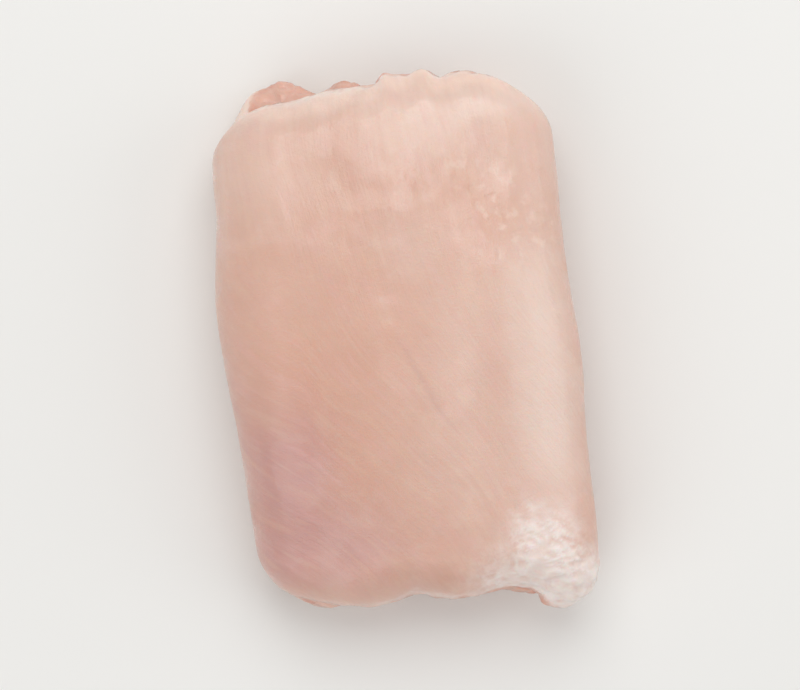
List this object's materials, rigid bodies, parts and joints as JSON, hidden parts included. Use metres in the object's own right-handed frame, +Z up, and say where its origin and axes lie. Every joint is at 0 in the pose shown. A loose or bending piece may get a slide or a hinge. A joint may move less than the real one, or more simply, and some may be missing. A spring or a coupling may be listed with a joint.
{
  "type": "raw chicken thigh",
  "caption": "Raw, boned and skinned chicken thigh folded into a plump packet, with its smooth side outward, its long edges tucked under in a seam and a pale fat corner.",
  "frame": {"origin": "middle of the bounding box in X and Y, at the surface that the packet lies on", "axes": "+Z up, from the folded side to the smooth crown; +Y along the packet, away from the fat corner; +X across it, towards the side with the fat corner"},
  "size_m": [0.0712, 0.1092, 0.0304],
  "materials": {
    "meat": "gloss"
  },
  "bodies": {
    "root": {"chicken_thigh": "meat"}
  },
  "joints": []
}
